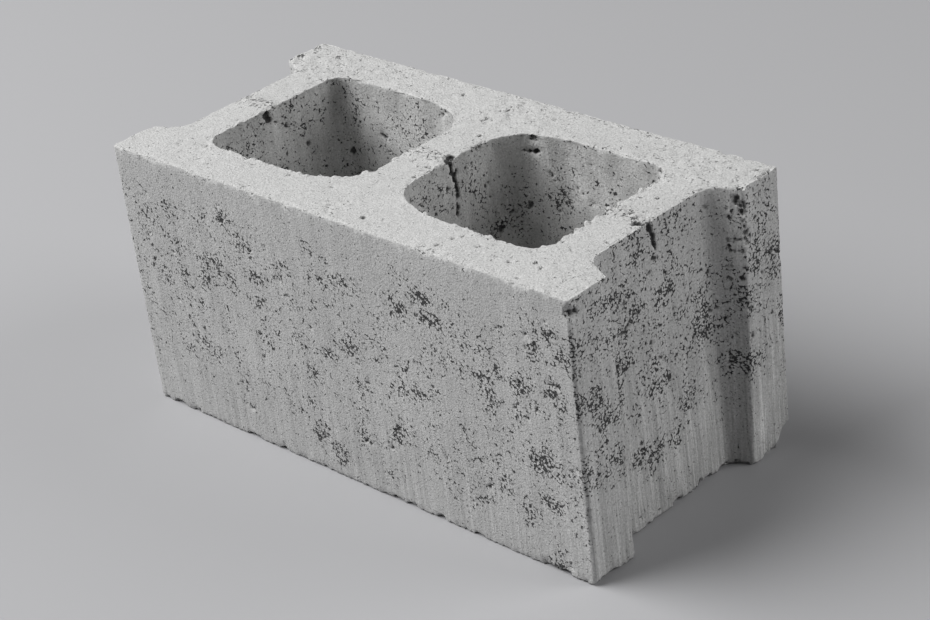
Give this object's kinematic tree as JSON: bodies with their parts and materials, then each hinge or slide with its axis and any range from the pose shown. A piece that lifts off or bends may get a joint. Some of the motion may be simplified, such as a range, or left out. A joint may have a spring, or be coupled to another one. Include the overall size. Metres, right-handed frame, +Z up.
{
  "type": "concrete block",
  "caption": "Hollow cast concrete masonry block with flanged ends, tapered through-cores and a recess in each end, for laying in mortar.",
  "frame": {"origin": "centre of the bottom face, the bed face with the narrower core openings", "axes": "+X along the block's length towards one flanged end, +Y across it, +Z up towards the bed face with the wider core openings"},
  "size_m": [0.397, 0.194, 0.194],
  "materials": {
    "concrete": "rough open-grained as-cast grey concrete, unpainted and dry"
  },
  "bodies": {
    "root": {"block": "concrete"}
  },
  "joints": []
}
